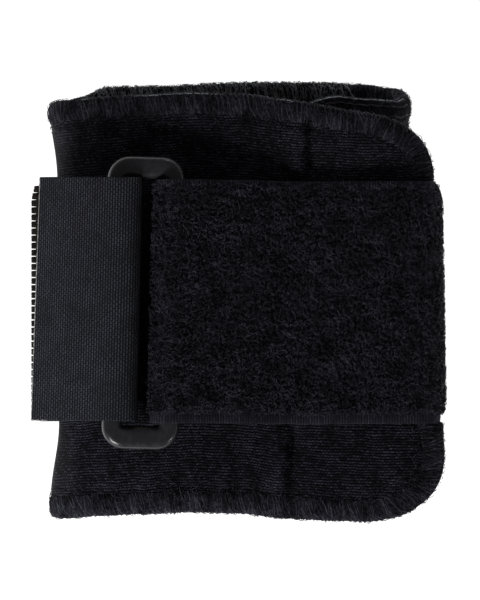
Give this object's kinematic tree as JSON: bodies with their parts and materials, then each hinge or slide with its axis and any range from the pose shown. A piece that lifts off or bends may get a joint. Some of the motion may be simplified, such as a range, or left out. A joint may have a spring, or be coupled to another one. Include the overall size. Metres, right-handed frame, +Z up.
{
  "type": "neoprene wrist support",
  "caption": "Wrap-round neoprene wrist support with overlocked edges, closed by a wide loop strap and a hook strap that folds back through a slotted ring.",
  "frame": {"origin": "on the table, under the middle of the closed support as it lies on its back", "axes": "+Z up off the table towards the strap side, +Y along the forearm, +X to the right of someone looking down on the ring"},
  "size_m": [0.0858, 0.0914, 0.035],
  "materials": {
    "neoprene": "black knitted facing on neoprene, matt with a slight sheen",
    "edge_thread": "black fluffy overlock thread",
    "loop_pile": "black napped loop pile",
    "hook_tape": "charcoal woven tape with fine ribs",
    "ring_plastic": "black moulded plastic, satin gloss"
  },
  "bodies": {
    "root": {"neoprene_body": "neoprene", "overlock_edge": "edge_thread", "loop_strap": "loop_pile", "hook_strap": "hook_tape", "ring": "ring_plastic"}
  },
  "joints": []
}
